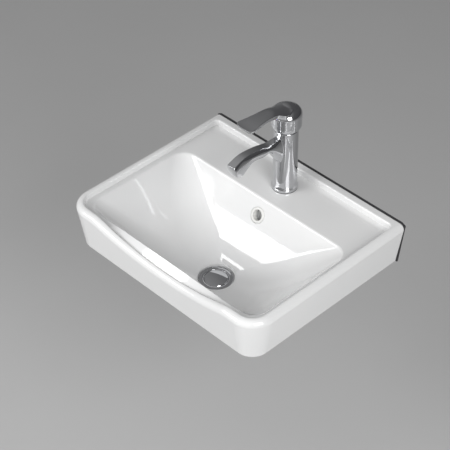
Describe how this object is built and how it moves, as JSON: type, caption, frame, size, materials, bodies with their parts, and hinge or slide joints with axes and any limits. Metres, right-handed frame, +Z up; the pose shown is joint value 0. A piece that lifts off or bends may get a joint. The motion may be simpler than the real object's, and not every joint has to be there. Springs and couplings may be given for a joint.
{
  "type": "wall hung basin",
  "caption": "Rectangular wall hung ceramic basin with a dipped front rim, chrome single-lever tap and push-open waste with overflow.",
  "frame": {"origin": "on the wall plane, midway between the two hanger bolts, at the level of the bolts", "axes": "+X to the right as seen by someone facing the basin, +Y into the wall, +Z up; the basin's front faces -Y"},
  "size_m": [0.4762, 0.4371, 0.4043],
  "materials": {
    "glaze": "smooth gloss white glaze",
    "chrome": "polished plating",
    "pad_rubber": "matt, fine grain",
    "seal_rubber": "matt moulded",
    "zinc_steel": "zinc plated, satin",
    "bare_brass": "turned",
    "white_plastic": "moulded, matt",
    "grey_plastic": "moulded, matt",
    "index_marks": "half red, half blue, glossy"
  },
  "bodies": {
    "root": {"basin_body": "glaze", "overflow_ring": "white_plastic", "wall_pad": "pad_rubber", "hanger_bolts": "zinc_steel", "hanger_bushes": "white_plastic", "hanger_washers": "zinc_steel", "hanger_nuts": "zinc_steel", "tap_body": "chrome", "tap_base_seal": "seal_rubber", "tap_cartridge": "grey_plastic", "cartridge_seals": "seal_rubber", "cartridge_nut": "bare_brass", "tap_bonnet": "chrome", "tap_fixing_stud": "zinc_steel", "tap_fixing_seal": "seal_rubber", "tap_fixing_plate": "zinc_steel", "tap_fixing_nut": "bare_brass", "aerator_housing": "chrome", "aerator_insert": "white_plastic", "aerator_seal": "seal_rubber", "waste_body": "chrome", "waste_flange_seal": "seal_rubber", "waste_lower_seal": "seal_rubber", "waste_washer": "white_plastic", "waste_back_nut": "bare_brass", "click_housing": "white_plastic", "click_spring": "zinc_steel"},
    "swivel": {"cartridge_collar": "grey_plastic"},
    "lever": {"lever_handle": "chrome", "cartridge_stem": "bare_brass", "handle_grub_screw": "zinc_steel", "handle_index_plug": "index_marks"},
    "plug": {"waste_plug_cap": "chrome", "waste_plug_seal": "seal_rubber", "click_spindle": "bare_brass"}
  },
  "joints": [
    {"name": "handle_swivel", "type": "hinge", "parent": "root", "child": "swivel", "pos_m": [0, -0.063, 0.185], "axis": [0, 0, 1], "range_deg": [-45, 45]},
    {"name": "lever_lift", "type": "hinge", "parent": "swivel", "child": "lever", "pos_m": [0, -0.063, 0.185], "axis": [-1, 0, 0], "range_deg": [0, 20]},
    {"name": "plug_lift", "type": "slide", "parent": "root", "child": "plug", "axis": [0, 0, 1], "range_m": [0, 0.008], "deforming": ["click_spring"]}
  ]
}
